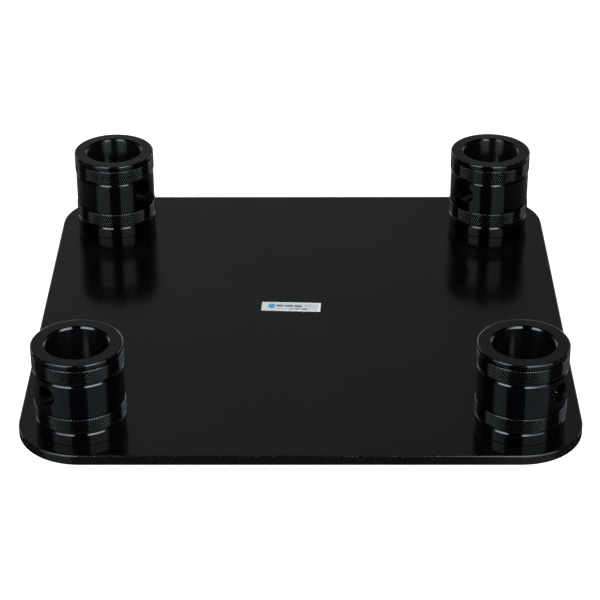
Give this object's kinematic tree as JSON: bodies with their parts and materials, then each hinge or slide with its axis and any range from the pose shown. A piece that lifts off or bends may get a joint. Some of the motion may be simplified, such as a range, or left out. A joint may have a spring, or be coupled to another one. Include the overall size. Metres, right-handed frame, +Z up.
{
  "type": "truss base plate",
  "caption": "Flat square base plate with knurled corner receivers that take a box truss's conical spigots, each with a cross hole for its locking pin.",
  "frame": {"origin": "middle of the plate's underside, which is the bottom centre of the bounding box", "axes": "+Z up, out of the plate's top. -Y is the side nearest the camera (front) and +X the right. The receivers stand at the corners of a square whose sides are parallel to X and Y."},
  "size_m": [0.308, 0.308, 0.056],
  "materials": {
    "plate_powder_coat": "satin black powder coat with a fine texture",
    "receiver_anodised": "black anodised, turned, with diamond-knurled bands",
    "screw_black": "black oxide",
    "label_film": "silver-white adhesive film"
  },
  "bodies": {
    "plate": {"base_plate": "plate_powder_coat", "label": "label_film"},
    "receiver_front_left": {"receiver_front_left": "receiver_anodised", "screw_front_left": "screw_black"},
    "receiver_front_right": {"receiver_front_right": "receiver_anodised", "screw_front_right": "screw_black"},
    "receiver_back_left": {"receiver_back_left": "receiver_anodised", "screw_back_left": "screw_black"},
    "receiver_back_right": {"receiver_back_right": "receiver_anodised", "screw_back_right": "screw_black"}
  },
  "joints": [
    {"name": "receiver_front_left_swivel", "type": "hinge", "parent": "plate", "child": "receiver_front_left", "pos_m": [-0.1195, -0.1195, 0.006], "axis": [0, 0, 1], "continuous": true},
    {"name": "receiver_front_right_swivel", "type": "hinge", "parent": "plate", "child": "receiver_front_right", "pos_m": [0.1195, -0.1195, 0.006], "axis": [0, 0, 1], "continuous": true},
    {"name": "receiver_back_left_swivel", "type": "hinge", "parent": "plate", "child": "receiver_back_left", "pos_m": [-0.1195, 0.1195, 0.006], "axis": [0, 0, 1], "continuous": true},
    {"name": "receiver_back_right_swivel", "type": "hinge", "parent": "plate", "child": "receiver_back_right", "pos_m": [0.1195, 0.1195, 0.006], "axis": [0, 0, 1], "continuous": true}
  ]
}
